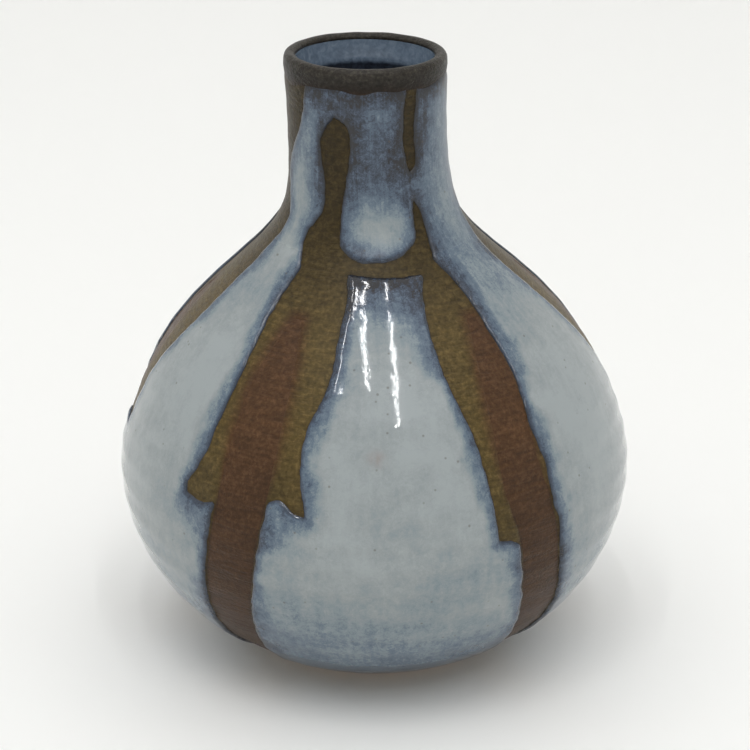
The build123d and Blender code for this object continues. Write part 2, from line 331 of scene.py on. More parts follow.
def distanceFrom(strokes):
    # mm from the nearest edge of the strokes taken together, negative inside them
    inside = np.zeros(high.shape, bool)
    tree = kdtree.KDTree(sum(len(outline) for _, outline in strokes))
    count = 0
    for facing, outline in strokes:
        inside |= insideStroke(surface, facing, outline)
        places = onPot(facing, outline)
        hidden = outline[:, 1] > pot["lipHeight"]
        for other in strokes:
            if other[1] is not outline:
                hidden |= insideStroke(places, *other)
        for place in places[~hidden].tolist():
            tree.insert(place, count)
            count += 1
    tree.balance()
    far = np.array([tree.find(place)[2] for place in surface.reshape(-1, 3).tolist()]).reshape(high.shape)
    return np.where(inside, -far, far)


wideEdges = [(facing, wideOutline(runs)) for facing, runs in wideStrokes]
narrowEdges = [(facing, narrowOutline(rows, 0)) for facing, rows in narrowStrokes]
narrowPale = [(facing, narrowOutline(rows, strokeEdges["paleDrawsBack"])) for facing, rows in narrowStrokes]
shiver = strokeEdges["shiver"] * ripple(strokeEdges["shiverSize"], 1)
fromPale = distanceFrom(wideEdges + narrowPale) + shiver
fromNarrow = distanceFrom(narrowEdges) + 0.5 * shiver
print("strokes measured")


def makePiece(name, points, faces, values):
    # points in mm; values are numbers or directions kept on each point for the glazes
    mesh = bpy.data.meshes.new(name)
    mesh.from_pydata((handThrown(points) * mm).tolist(), [], faces)
    for key, numbers in values.items():
        kind, field = ("FLOAT_VECTOR", "vector") if numbers.ndim == 2 else ("FLOAT", "value")
        attribute = mesh.attributes.new(key, kind, "POINT")
        attribute.data.foreach_set(field, numbers.astype(np.float32).ravel())
    mesh.shade_smooth()
    mesh.set_sharp_from_angle(angle=radians(70))
    piece = bpy.data.objects.new(name, mesh)
    bpy.context.scene.collection.objects.link(piece)
    print(name, "made:", len(faces), "faces")
    return piece


def coat(share, over, under, values, step=1):
    # a closed coat where share is above 0: over and under are heights from the clay.
    # The two sides meet in a thin rounded edge where share is 0.
    share = share[::step, ::step]
    rows, columns = share.shape
    there = share > 0
    there[0] = there[-1] = False
    place = np.arange(rows * columns).reshape(rows, columns)
    nextPlace = np.roll(place, -1, axis=1)
    nextThere = np.roll(there, -1, axis=1)
    levelAt = np.nonzero(there != nextThere)
    uprightAt = np.nonzero(there[:-1] != there[1:])
    first = np.concatenate((place[there], place[levelAt], place[:-1][uprightAt]))
    second = np.concatenate((place[there], nextPlace[levelAt], place[1:][uprightAt]))
    kept, level, upright = int(there.sum()), len(levelAt[0]), len(uprightAt[0])
    value = share.ravel()
    gap = value[first] - value[second]
    part = np.where(gap == 0, 0, value[first] / np.where(gap == 0, 1, gap))
    corner = -np.ones((rows, columns), int)
    corner[there] = np.arange(kept)
    levelCut = -np.ones((rows, columns), int)
    levelCut[levelAt] = kept + np.arange(level)
    uprightCut = -np.ones((rows, columns), int)
    uprightCut[:-1][uprightAt] = kept + level + np.arange(upright)
    total = kept + level + upright

    rowNow = (1 - part) * (first // columns) + part * (second // columns)
    sameRow = first // columns == second // columns
    columnNow = first % columns + np.where(np.arange(total) >= kept, part, 0) * sameRow
    turnNow = columnNow * 2 * pi / columns

    def between(array):
        flat = array[::step, ::step].ravel()
        return (1 - part) * flat[first] + part * flat[second]

    def placed(heights):
        rowIndex = np.arange(rows)
        radius, z = (np.interp(rowNow, rowIndex, rowPlace[::step, k]) for k in (0, 1))
        outRadius, outZ = (np.interp(rowNow, rowIndex, rowOut[::step, k]) for k in (0, 1))
        radius = radius + outRadius * heights
        return np.stack((radius * np.sin(turnNow), -radius * np.cos(turnNow), z + outZ * heights), axis=1)

    underPoints = placed(between(under))
    overPoints = placed(between(over))
    overPoints[kept:] = underPoints[kept:]
    points = np.concatenate((overPoints, underPoints[:kept]))
    full = there[:-1] & nextThere[:-1] & there[1:] & nextThere[1:]
    some = (there[:-1] | nextThere[:-1] | there[1:] | nextThere[1:]) & ~full
    nextCorner = np.roll(corner, -1, axis=1)
    cells = np.stack((corner[:-1], nextCorner[:-1], nextCorner[1:], corner[1:]), axis=2)
    faces = cells[full].tolist()
    cutFaces = []
    for i, j in zip(*np.nonzero(some)):
        k = (j + 1) % columns
        ring = [(corner[i, j], levelCut[i, j]), (corner[i, k], uprightCut[i, k]),
                (corner[i + 1, k], levelCut[i + 1, j]), (corner[i + 1, j], uprightCut[i, j])]
        face = [int(index) for pair in ring for index in pair if index >= 0]
        if len(face) > 2:
            cutFaces.append(face)
    faces += cutFaces

    def below(index):
        return index + total if index < kept else index

    faces += [[below(index) for index in reversed(face)] for face in cutFaces]
    # the hidden side takes blocks of 3 x 3 cells as one face wherever all nine are there
    size = 3
    tall, across = (rows - 1) // size, columns // size
    block = full[:tall * size].reshape(tall, size, across, size).all(axis=(1, 3))
    inBlock = np.zeros(full.shape, bool)
    inBlock[:tall * size] = np.repeat(np.repeat(block, size, axis=0), size, axis=1)
    faces += (cells[full & ~inBlock][:, ::-1] + total).tolist()
    for i, j in zip(*np.nonzero(block)):
        whole = (
            i > 0 and block[i - 1, j],
            block[i, (j + 1) % across],
            i + 1 < tall and block[i + 1, j],
            block[i, j - 1],
        )
        ring = [(i * size, j * size + s) for s in range(size)]
        ring += [(i * size + s, (j + 1) * size) for s in range(size)]
        ring += [((i + 1) * size, (j + 1) * size - s) for s in range(size)]
        ring += [((i + 1) * size - s, j * size) for s in range(size)]
        # a side that meets another block keeps only its corners
        ring = [spot for n, spot in enumerate(ring) if n % size == 0 or not whole[n // size]]
        faces.append([int(corner[r, c % columns]) + total for r, c in reversed(ring)])

    rowAlongNow = np.interp(rowNow, np.arange(rows), rowAlong[::step])
    # a place for streaks that run down the pot: their width follows the pot round
    numbers = {"flow": np.stack((40 * np.sin(turnNow), -40 * np.cos(turnNow), rowAlongNow), axis=1)}
    for key, array in values.items():
        numbers[key] = between(array)
    numbers = {key: np.concatenate((array, array[:kept])) for key, array in numbers.items()}
    return points, faces, numbers


def looseParts(count, faces):
    # the connected part that each point belongs to, by the number of one of its points
    leader = list(range(count))

    def follow(point):
        while leader[point] != point:
            leader[point] = leader[leader[point]]
            point = leader[point]
        return point

    for face in faces:
        first = follow(face[0])
        for point in face[1:]:
            leader[follow(point)] = first
    return np.array([follow(point) for point in range(count)])


def partOf(shell, labels, spot):
    # the connected part of a shell that lies nearest to a spot
    points, faces, numbers = shell
    chosen = labels == labels[np.argmin(np.linalg.norm(points - spot, axis=1))]
    index = np.cumsum(chosen) - 1
    partFaces = [index[face].tolist() for face in faces if chosen[face[0]]]
    return points[chosen], partFaces, {key: array[chosen] for key, array in numbers.items()}


def turned(line, columns):
    # a line of (radius, height) turned round the axis, in points and faces
    angle = np.arange(columns) * 2 * pi / columns
    rings, points = [], []
    for radius, z in line:
        onAxis = radius < 0.01
        around = angle[:1] if onAxis else angle
        radius = 0 if onAxis else radius
        rings.append([len(points) + n for n in range(len(around))])
        points += [(radius * np.sin(a), -radius * np.cos(a), z) for a in around]
    faces = []
    for one, two in zip(rings[:-1], rings[1:]):
        for n in range(columns):
            m = (n + 1) % columns
            if len(one) == 1:
                faces.append([one[0], two[m], two[n]])
            elif len(two) == 1:
                faces.append([one[n], one[m], two[0]])
            else:
                faces.append([one[n], one[m], two[m], two[n]])
    return np.array(points), faces


coats = {
    "ironDepth": 0.25,  # each coat's outer face, mm from the clay
    "oliveDepth": 0.45,
    "paleDepth": 0.53,  # the pale coat lies on top of the olive one
    "ironLow": 3.4,  # height of each coat's lower edge
    "oliveLow": 4.4,
    "paleLow": 5.4,
    "rimBand": 143.9,  # the lip above this stays bare brown
    "rimWander": 0.8,
    "rimTaper": 0.14,  # the coats thin out slowly towards the rim
    "ironRound": 0.4,  # how far in from its edge each coat reaches its full depth
    "oliveRound": 0.7,
    "paleRound": 1.25,
    "paleBead": 0.10,  # the pale coat's edge stands up in a low bead
    "lipBulge": 0.22,  # the brown coat is thickest round the lip
}


def rounded(share):
    # a bead's section: steep at its edge, flat inside
    share = np.clip(share, 0, 1)
    return np.sqrt(1 - (1 - share) ** 2)


fromRim = coats["rimBand"] + coats["rimWander"] * ripple(7, 2) - high
fromRim[along > sideLength] = -1
rimShare = fromRim * coats["rimTaper"]

ironShare = np.minimum(high - coats["ironLow"], rowAlong[-1] - along)
ironOver = coats["ironDepth"] * rounded(ironShare / coats["ironRound"])
ironOver += coats["lipBulge"] * np.exp(-((high - 146) / 1.7) ** 2) * (wide > pot["lipRadius"])
ironOver += 0.06 * ripple(5, 8) * (high > 143)
lipness = smoothStep((high - 141.5) / 4)

oliveShare = np.minimum(np.minimum(fromNarrow, high - coats["oliveLow"]), rimShare)
oliveRise = (coats["oliveDepth"] - coats["ironDepth"]) * rounded(oliveShare / coats["oliveRound"])
oliveOver = coats["ironDepth"] + oliveRise

paleShare = np.minimum(np.minimum(fromPale, high - coats["paleLow"]), rimShare)
paleRise = rounded(paleShare / coats["paleRound"])
paleRise += coats["paleBead"] * np.exp(-((paleShare - 1.5) / 0.9) ** 2)
paleUnder = oliveOver + 0.02
paleOver = paleUnder + coats["paleDepth"] * paleRise

# How white the pale glaze has grown, from 0 (thin, dark) to 1 (thick, white). Its fall up the neck and towards
# the foot is partly thinner glaze and partly painted shade from light falling from above
bloom = {
    "whiteAndShadeByHeight": [(4, 0.30), (12, 0.42), (20, 0.56), (30, 0.74), (45, 0.88), (70, 0.98), (86, 0.92), (97, 0.70),
                 (106, 0.54), (115, 0.42), (124, 0.39), (136, 0.44), (144, 0.36)],
    "haloWidth": 5.6,  # blue halo beside the strokes
    "haloWander": 2.2,
    "haloDepth": 0.55,
    "ringShow": 0.022,  # the throwing rings catch a little more and less glaze
    "rimFade": 5.5,
    "pools": [  # turn, height, half width, half height, change in whiteness
        (7, 112.5, 9.0, 6.5, 0.44),  # white pool above the bridge
        (4, 99, 11, 4.5, -0.42),  # run of thin glaze under the bridge
        (-12, 92, 4, 12, -0.16),
        (-31, 51, 16, 5, -0.26),  # under the front left stroke's tail
        (38, 42, 13, 5, -0.22),
        (18, 124, 7, 14, -0.12),
        (-52, 122, 6, 20, 0.30),  # white left side of the neck
        (-46, 109, 8, 9, 0.24),
        (62, 122, 6, 18, 0.18),
        (-2, 130, 9, 9, -0.06),
    ],
    "mattAbove": 102.5,  # the thick white glaze up the neck sets less glossy
    "blush": (0.5, 69.9, 1.9, 1.5),  # turn, height and half sizes of a faint pink mark
}


def acrossFrom(facing):
    # mm round the pot from a turn, at each point of the grid
    return (np.remainder(turn - radians(facing) + pi, 2 * pi) - pi) * wide


# whiteness by height, with painted shade: darker up the neck and towards the foot
whiteAndShadeByHeight = np.interp(high, *zip(*bloom["whiteAndShadeByHeight"]))
haloWidth = bloom["haloWidth"] + bloom["haloWander"] * ripple(9, 3) + 0.8 * ripple(3, 4)
halo = 1 - smoothStep(fromPale / np.maximum(haloWidth, 1.2))
white = whiteAndShadeByHeight - bloom["haloDepth"] * halo * (0.25 + 0.75 * whiteAndShadeByHeight)
for facing, height, halfAcross, halfUp, change in bloom["pools"]:
    white += change * np.exp(-((acrossFrom(facing) / halfAcross) ** 2 + ((high - height) / halfUp) ** 2))
white += 0.05 * ripple(16, 5) + 0.03 * ripple(5, 6)
white += bloom["ringShow"] * throwingRings(high, turn) * smoothStep((70 - high) / 30)
rimFade = 1 - smoothStep((fromRim + 0.8 * ripple(1.6, 7)) / bloom["rimFade"])
white = np.clip(white * (1 - 0.95 * rimFade), 0, 1)
matt = smoothStep((high - bloom["mattAbove"]) / 4)
facing, height, halfAcross, halfUp = bloom["blush"]
blush = np.exp(-((acrossFrom(facing) / halfAcross) ** 2 + ((high - height) / halfUp) ** 2))
blush *= np.clip(0.7 + 0.6 * ripple(1.2, 9), 0, 1)
print("glaze bloom worked out")


def fromHex(code):
    parts = [int(code[k:k + 2], 16) / 255 for k in (1, 3, 5)]
    return [p / 12.92 if p <= 0.04045 else ((p + 0.055) / 1.055) ** 2.4 for p in parts] + [1]


def newMaterial(name):
    material = bpy.data.materials.new(name)
    material.use_nodes = True
    material.node_tree.nodes.clear()
    return material


def addNode(material, kind, inputs=None, stops=None, **settings):
    # one node with its settings, its inputs and, for a ramp, its stops. An input is a value, a
    # socket, or a node that gives its first output. A stop is a hex colour or a grey level.
    node = material.node_tree.nodes.new(kind)
    for key, value in settings.items():
        setattr(node, key, value)
    for key, value in (inputs or {}).items():
        if isinstance(value, bpy.types.Node):
            value = next(output for output in value.outputs if output.enabled)
        if isinstance(value, bpy.types.NodeSocket):
            material.node_tree.links.new(value, node.inputs[key])
        else:
            node.inputs[key].default_value = value
    if stops:
        ramp = node.color_ramp
        while len(ramp.elements) < len(stops):
            ramp.elements.new(1)
        for element, (position, colour) in zip(ramp.elements, stops):
            element.position = position
            element.color = fromHex(colour) if isinstance(colour, str) else (colour, colour, colour, 1)
    return node


def lumps(material, size, detail=3.0, rough=0.55, twist=0.0, along=None):
    # cloudy pattern with lumps of a size in mm, or of three sizes where it follows a flow
    if along is None:
        along = addNode(material, "ShaderNodeTexCoord").outputs["Object"]
        size = (size * mm,) * 3
    scaled = addNode(material, "ShaderNodeMapping", {"Vector": along, "Scale": [1 / s for s in size]})
    return addNode(material, "ShaderNodeTexNoise", {
        "Vector": scaled, "Scale": 1.0, "Detail": detail, "Roughness": rough, "Distortion": twist})


def specks(material, size, amount, shift=0.0):
    # small round spots: a random few of the cells of a grid of that size in mm
    place = addNode(material, "ShaderNodeTexCoord").outputs["Object"]
    scaled = addNode(material, "ShaderNodeMapping", {
        "Vector": place, "Scale": (1 / (size * mm),) * 3, "Location": (shift,) * 3})
    cells = addNode(material, "ShaderNodeTexVoronoi", {"Vector": scaled, "Scale": 1.0, "Randomness": 1.0})
    chosen = addNode(material, "ShaderNodeSeparateColor", {"Color": cells.outputs["Color"]})
    some = addNode(material, "ShaderNodeMath", {0: chosen, 1: amount}, operation="LESS_THAN")
    spot = addNode(material, "ShaderNodeValToRGB", {"Fac": cells.outputs["Distance"]},
                   stops=[(0.07, 1.0), (0.15, 0.0)])
    return addNode(material, "ShaderNodeMath", {0: spot, 1: some}, operation="MULTIPLY")


def swung(material, level, pattern, swing, clamp=False):
    # a level that a pattern moves up and down about its middle
    about = addNode(material, "ShaderNodeMath", {0: pattern, 1: 0.5}, operation="SUBTRACT")
    return addNode(material, "ShaderNodeMath", {0: about, 1: swing, 2: level},
                   operation="MULTIPLY_ADD", use_clamp=clamp)


floatingBlue = {
    "stops": [(0.00, "#1e1e22"), (0.10, "#262d3a"), (0.24, "#374252"), (0.40, "#4b5a6b"), (0.56, "#5e6d7b"),
              (0.72, "#7a868c"), (0.86, "#8a9193"), (1.00, "#969d9f")],
    "mottle": (1.5, 0.85),  # each pattern's size in mm and how far it swings the whiteness
    "vein": (0.9, 0.65),
    "streak": ((1.3, 1.3, 14.0), 0.5),
    "broad": (6.0, 0.18),
    "edgeStops": [(0.0, 0.10), (0.07, 0.45), (0.26, 1.0)],  # over 4 mm in from the edge
    "dot": "#4e4740",
    "dots": (2.6, 0.25),  # size in mm of the grid they sit in, and the share of it that has one
    "pits": (5.0, 0.12),
    "blush": "#8c746c",
    "orangePeel": (2.6, 0.10),  # waves in the gloss: their size and depth in mm
    "fineWaves": (0.55, 0.012),
    "roughness": 0.04,
    "mattRoughness": 0.24,
    "ior": 1.52,
}


def floatingBlueGlaze():
    # rutile glaze, poured thick and fired glossy: white crystals float in it, and it turns
    # to mottled blue wherever it thins, with a dark line at the edge
    glaze = newMaterial("floatingBlueGlaze")
    white, edge, matt, blush = (addNode(glaze, "ShaderNodeAttribute", attribute_name=name).outputs["Fac"]
                                for name in ("white", "edge", "matt", "blush"))
    flow = addNode(glaze, "ShaderNodeAttribute", attribute_name="flow").outputs["Vector"]
    mottle = lumps(glaze, floatingBlue["mottle"][0], 4.0, 0.6, 0.6)
    vein = lumps(glaze, floatingBlue["vein"][0], 2.0, 0.5, 2.5)
    streak = lumps(glaze, floatingBlue["streak"][0], 3.0, 0.6, 0.4, flow)
    broad = lumps(glaze, floatingBlue["broad"][0], 2.0, 0.5, 0.3)
    change = swung(glaze, 0.0, mottle, floatingBlue["mottle"][1])
    change = swung(glaze, change, vein, floatingBlue["vein"][1])
    change = swung(glaze, change, streak, floatingBlue["streak"][1])
    # the thinner the glaze, the stronger its mottle
    thin = addNode(glaze, "ShaderNodeMath", {0: 1.2, 1: white}, operation="SUBTRACT")
    change = addNode(glaze, "ShaderNodeMath", {0: change, 1: thin}, operation="MULTIPLY")
    change = swung(glaze, change, broad, floatingBlue["broad"][1])
    level = addNode(glaze, "ShaderNodeMath", {0: white, 1: change}, operation="ADD", use_clamp=True)
    # right at the edge the brown coat shows through
    inward = addNode(glaze, "ShaderNodeMath", {0: edge, 1: 0.25}, operation="MULTIPLY", use_clamp=True)
    cover = addNode(glaze, "ShaderNodeValToRGB", {"Fac": inward}, stops=floatingBlue["edgeStops"])
    level = addNode(glaze, "ShaderNodeMath", {0: level, 1: cover}, operation="MULTIPLY")
    colour = addNode(glaze, "ShaderNodeValToRGB", {"Fac": level}, stops=floatingBlue["stops"])
    dots = specks(glaze, *floatingBlue["dots"])
    for share, depth, tint in ((dots, 0.5, "dot"), (blush, 0.4, "blush")):
        share = addNode(glaze, "ShaderNodeMath", {0: share, 1: depth}, operation="MULTIPLY")
        colour = addNode(glaze, "ShaderNodeMix", {0: share, 6: colour, 7: fromHex(floatingBlue[tint])},
                         data_type="RGBA")
    # gloss that is not quite flat, with a few pinholes
    waves = lumps(glaze, floatingBlue["orangePeel"][0], 1.0, 0.4)
    bump = addNode(glaze, "ShaderNodeBump", {
        "Height": waves, "Strength": 0.35, "Distance": floatingBlue["orangePeel"][1] * mm})
    fine = lumps(glaze, floatingBlue["fineWaves"][0], 1.0, 0.5)
    bump = addNode(glaze, "ShaderNodeBump", {
        "Height": fine, "Strength": 0.5, "Distance": floatingBlue["fineWaves"][1] * mm, "Normal": bump})
    pits = specks(glaze, *floatingBlue["pits"], 3.7)
    bump = addNode(glaze, "ShaderNodeBump", {
        "Height": pits, "Strength": 0.5, "Distance": 0.12 * mm, "Normal": bump}, invert=True)
    rough = addNode(glaze, "ShaderNodeMath", {0: mottle, 1: 0.06, 2: floatingBlue["roughness"]},
                    operation="MULTIPLY_ADD")
    rough = addNode(glaze, "ShaderNodeMath", {0: matt, 1: floatingBlue["mattRoughness"], 2: rough},
                    operation="MULTIPLY_ADD")
    surface = addNode(glaze, "ShaderNodeBsdfPrincipled", {
        "Base Color": colour, "Roughness": rough, "IOR": floatingBlue["ior"], "Normal": bump})
    addNode(glaze, "ShaderNodeOutputMaterial", {"Surface": surface})
    return glaze


brushed = {
    "ridges": (5.0, 5.0, 0.9),  # ripples across the stroke: wide, wide and close along it
    # colour of the ripples' grooves and crests: the grooves are darkened as painted shade
    "ridgeShade": [(0.34, 0.66), (0.62, 1.0)],
    "ridgeDepth": 0.3,
    "roughness": 0.30,
    "specular": 0.2,
    "ior": 1.5,
}


def brushedFinish(glaze, colour, edgeColour, edgeStops, grainSize, grainShow):
    # what the two thin brushed coats share: dark edges over 2 mm, ripples left across the
    # stroke, a dry grain and a low satin shine
    flow = addNode(glaze, "ShaderNodeAttribute", attribute_name="flow").outputs["Vector"]
    margin = addNode(glaze, "ShaderNodeAttribute", attribute_name="margin").outputs["Fac"]
    toneAndShade = addNode(glaze, "ShaderNodeAttribute", attribute_name="toneAndShade").outputs["Color"]
    inward = addNode(glaze, "ShaderNodeMath", {0: margin, 1: 0.5}, operation="MULTIPLY", use_clamp=True)
    dark = addNode(glaze, "ShaderNodeValToRGB", {"Fac": inward}, stops=edgeStops)
    colour = addNode(glaze, "ShaderNodeMix", {0: dark, 6: colour, 7: fromHex(edgeColour)}, data_type="RGBA")
    ridges = lumps(glaze, brushed["ridges"], 3.0, 0.6, 0.3, flow)
    # the grooves between the ripples are darkened in colour: painted shade in the recesses
    grooveShade = addNode(glaze, "ShaderNodeValToRGB", {"Fac": ridges}, stops=brushed["ridgeShade"])
    # both darken the colour: the height tone partly as painted shade from above, the grooves as painted shade
    for shade in (toneAndShade, grooveShade):
        colour = addNode(glaze, "ShaderNodeMix", {0: 1.0, 6: colour, 7: shade},
                         data_type="RGBA", blend_type="MULTIPLY")
    grain = lumps(glaze, grainSize, 2.0, 0.6)
    height = addNode(glaze, "ShaderNodeMath", {0: grain, 1: grainShow, 2: ridges}, operation="MULTIPLY_ADD")
    bump = addNode(glaze, "ShaderNodeBump", {
        "Height": height, "Strength": 0.9, "Distance": brushed["ridgeDepth"] * mm})
    rough = addNode(glaze, "ShaderNodeMath", {0: grain, 1: 0.2, 2: brushed["roughness"]},
                    operation="MULTIPLY_ADD")
    surface = addNode(glaze, "ShaderNodeBsdfPrincipled", {
        "Base Color": colour, "Roughness": rough, "IOR": brushed["ior"],
        "Specular IOR Level": brushed["specular"], "Normal": bump})
    addNode(glaze, "ShaderNodeOutputMaterial", {"Surface": surface})
    return glaze


olive = {
    "ground": [(0.30, "#42371a"), (0.50, "#5a4a26"), (0.70, "#74623a")],
    "rusty": [(0.30, "#432d18"), (0.52, "#523820"), (0.72, "#694a31")],
    "edge": "#2c2417",
    "edgeStops": [(0.0, 0.35), (0.30, 0.0)],
    "mottle": 1.1,
    "rustPatches": 7.0,
    "rustSwing": 0.8,
    "grain": 0.5,
    "grainShow": 0.35,
    "rustReach": (0.5, 4.0),  # how far past a narrow stroke the rust shows: low down, and more above
}


def oliveGlaze():
    # thin iron and ash glaze, brushed on: satin, finely rippled across the stroke, with
    # darker pores, and warmer where the iron coat below comes through
    glaze = newMaterial("oliveGlaze")
    rust = addNode(glaze, "ShaderNodeAttribute", attribute_name="rust").outputs["Fac"]
    mottle = lumps(glaze, olive["mottle"], 5.0, 0.65, 0.4)
    patches = lumps(glaze, olive["rustPatches"], 2.0, 0.5)
    ground = addNode(glaze, "ShaderNodeValToRGB", {"Fac": mottle}, stops=olive["ground"])
    rusty = addNode(glaze, "ShaderNodeValToRGB", {"Fac": mottle}, stops=olive["rusty"])
    warmth = swung(glaze, rust, patches, olive["rustSwing"], clamp=True)
    warmth = addNode(glaze, "ShaderNodeMath", {0: warmth, 1: rust}, operation="MULTIPLY", use_clamp=True)
    colour = addNode(glaze, "ShaderNodeMix", {0: warmth, 6: ground, 7: rusty}, data_type="RGBA")
    return brushedFinish(glaze, colour, olive["edge"], olive["edgeStops"], olive["grain"], olive["grainShow"])


iron = {
    "red": [(0.30, "#3f2a16"), (0.50, "#50361f"), (0.70, "#674a32")],
    "dry": [(0.32, "#1f1c17"), (0.52, "#332f29"), (0.72, "#4c473f")],  # on the lip
    "edge": "#241c14",
    "edgeStops": [(0.0, 0.6), (0.35, 0.0)],
    "mottle": 1.0,
    "dryMottle": 0.8,
    "grain": 0.45,
    "grainShow": 0.5,
}


def ironBrownGlaze():
    # iron slip glaze, thin and satin: red-brown with fine light crystals, nearly black where
    # it pools at the stroke's edge, greyer and drier on the lip
    glaze = newMaterial("ironBrownGlaze")
    lip = addNode(glaze, "ShaderNodeAttribute", attribute_name="lip").outputs["Fac"]
    mottle = lumps(glaze, iron["mottle"], 5.0, 0.7, 0.3)
    dryMottle = lumps(glaze, iron["dryMottle"], 5.0, 0.7)
    red = addNode(glaze, "ShaderNodeValToRGB", {"Fac": mottle}, stops=iron["red"])
    dry = addNode(glaze, "ShaderNodeValToRGB", {"Fac": dryMottle}, stops=iron["dry"])
    colour = addNode(glaze, "ShaderNodeMix", {0: lip, 6: red, 7: dry}, data_type="RGBA")
    return brushedFinish(glaze, colour, iron["edge"], iron["edgeStops"], iron["grain"], iron["grainShow"])


liner = {
    "stops": [(0.0, "#22262f"), (0.3, "#363e4b"), (0.7, "#667587"), (1.0, "#8593a1")],
    "thinAndShadedBelow": 141.6,  # height under which the drained glaze is thin and dark, darkened further by painted shade inside the hollow neck
    "thickAbove": 142.6,
    "thin": 0.12,
    "thick": 0.72,
    "mottle": (1.4, 0.7),
    "roughness": 0.18,
    "ior": 1.52,
    "depth": 0.25,
    "ridgeHeight": 142.5,  # a finger's ridge runs round just below the lip
    "ridgeDepth": 0.35,
    "ridgeHalf": 0.9,
    "columns": 168,
    "gap": 1.0,
}


def linerBlueGlaze():
    # the same blue glaze poured inside and drained, so thinner and darker down the neck; that darkness is also
    # painted shade inside the hollow neck
    glaze = newMaterial("linerBlueGlaze")
    height = addNode(glaze, "ShaderNodeAttribute", attribute_name="height").outputs["Fac"]
    mottle = lumps(glaze, liner["mottle"][0], 4.0, 0.6, 0.5)
    # the low level below the lip is thin glaze plus painted shade
    level = addNode(glaze, "ShaderNodeMapRange", {
        "Value": height, "From Min": liner["thinAndShadedBelow"], "From Max": liner["thickAbove"],
        "To Min": liner["thin"], "To Max": liner["thick"]})
    level = swung(glaze, level, mottle, liner["mottle"][1], clamp=True)
    colour = addNode(glaze, "ShaderNodeValToRGB", {"Fac": level}, stops=liner["stops"])
    surface = addNode(glaze, "ShaderNodeBsdfPrincipled", {
        "Base Color": colour, "Roughness": liner["roughness"], "IOR": liner["ior"]})
    addNode(glaze, "ShaderNodeOutputMaterial", {"Surface": surface})
    return glaze


body = {
    "clay": [(0.3, "#8a6f52"), (0.5, "#a2866a"), (0.7, "#b59a7e")],
    "ironSpeck": "#4a382a",
    "ironSpecks": (1.6, 0.25),
    "mottle": 2.0,
    "grit": 0.35,
    "gritDepth": 0.15,
    "roughness": 0.85,
    "ior": 1.5,
    "trimPitch": 1.8,  # grooves that the trimming tool left under the foot
    "trimDepth": 0.05,
    "columns": 192,
    "sideGap": 1.2,
    "lipGap": 0.3,
}


def bareStoneware():
    # toasted stoneware clay, trimmed on the wheel: matt and gritty, with iron specks
    stoneware = newMaterial("bareStoneware")
    mottle = lumps(stoneware, body["mottle"], 4.0, 0.65)
    ground = addNode(stoneware, "ShaderNodeValToRGB", {"Fac": mottle}, stops=body["clay"])
    colour = addNode(stoneware, "ShaderNodeMix", {
        0: specks(stoneware, *body["ironSpecks"]), 6: ground, 7: fromHex(body["ironSpeck"])}, data_type="RGBA")
    grit = lumps(stoneware, body["grit"], 3.0, 0.7)
    bump = addNode(stoneware, "ShaderNodeBump", {
        "Height": grit, "Strength": 0.8, "Distance": body["gritDepth"] * mm})
    surface = addNode(stoneware, "ShaderNodeBsdfPrincipled", {
        "Base Color": colour, "Roughness": body["roughness"], "IOR": body["ior"], "Normal": bump})
    addNode(stoneware, "ShaderNodeOutputMaterial", {"Surface": surface})
    return stoneware


def mounted(piece, material, node):
    piece.data.materials.append(material)
    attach(piece, "root")
    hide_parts(node)


# pale coat, cut into its five panels
palePanels = {  # turn, radius and height of a spot on each panel
    "pale_glaze_front_panel": (0, 56, 70),
    "pale_glaze_neck_and_sides": (0, 19, 125),
    "pale_glaze_back_right_panel": (125, 56, 70),
    "pale_glaze_back_panel": (-177, 56, 70),
    "pale_glaze_back_left_panel": (-118, 56, 70),
}
paleGlaze = floatingBlueGlaze()
paleValues = {"white": white, "edge": fromPale, "matt": matt, "blush": blush}
paleCoat = coat(paleShare, paleOver, paleUnder, paleValues)
labels = looseParts(len(paleCoat[0]), paleCoat[1])
for name, (facing, radius, height) in palePanels.items():
    spot = (radius * np.sin(radians(facing)), -radius * np.cos(radians(facing)), height)
    panel = makePiece(name + "_poured", *partOf(paleCoat, labels, spot))
    mounted(panel, paleGlaze, name)

# how dark the brown coats look by height: their own colour is darker up the neck, and painted shade from light
# falling from above darkens the neck, the band under the lip's top and the lower belly further, with the lip's
# top painted lighter
brownToneAndShadeByHeight = [(0, 0.62), (40, 0.68), (56, 0.76), (74, 1.0), (92, 0.92), (101, 0.60), (114, 0.38),
                 (140, 0.34), (144.5, 0.42), (147.5, 1.0)]
brownToneAndShade = np.interp(high, *zip(*brownToneAndShadeByHeight))
topFade = smoothStep((high - 54) / 22)  # the narrow strokes' upper ends melt into the olive
rustReach = olive["rustReach"][0] + olive["rustReach"][1] * topFade
rust = 1 - smoothStep(fromNarrow / rustReach)
margin = np.minimum(np.maximum(-fromPale, 0), fromNarrow + 4 * topFade)
oliveUnder = np.full(high.shape, coats["ironDepth"])
oliveValues = {"rust": rust, "margin": margin, "toneAndShade": brownToneAndShade}
oliveCoat = makePiece("olive_coat_brushed", *coat(oliveShare, oliveOver, oliveUnder, oliveValues, step=2))
mounted(oliveCoat, oliveGlaze(), "olive_coat")

margin = np.maximum(-fromNarrow, 4 * np.maximum(topFade, lipness))
ironUnder = np.zeros(high.shape)
ironValues = {"lip": lipness, "margin": margin, "toneAndShade": brownToneAndShade}
ironCoat = makePiece("iron_brown_coat_brushed", *coat(ironShare, ironOver, ironUnder, ironValues, step=2))
mounted(ironCoat, ironBrownGlaze(), "iron_brown_coat")

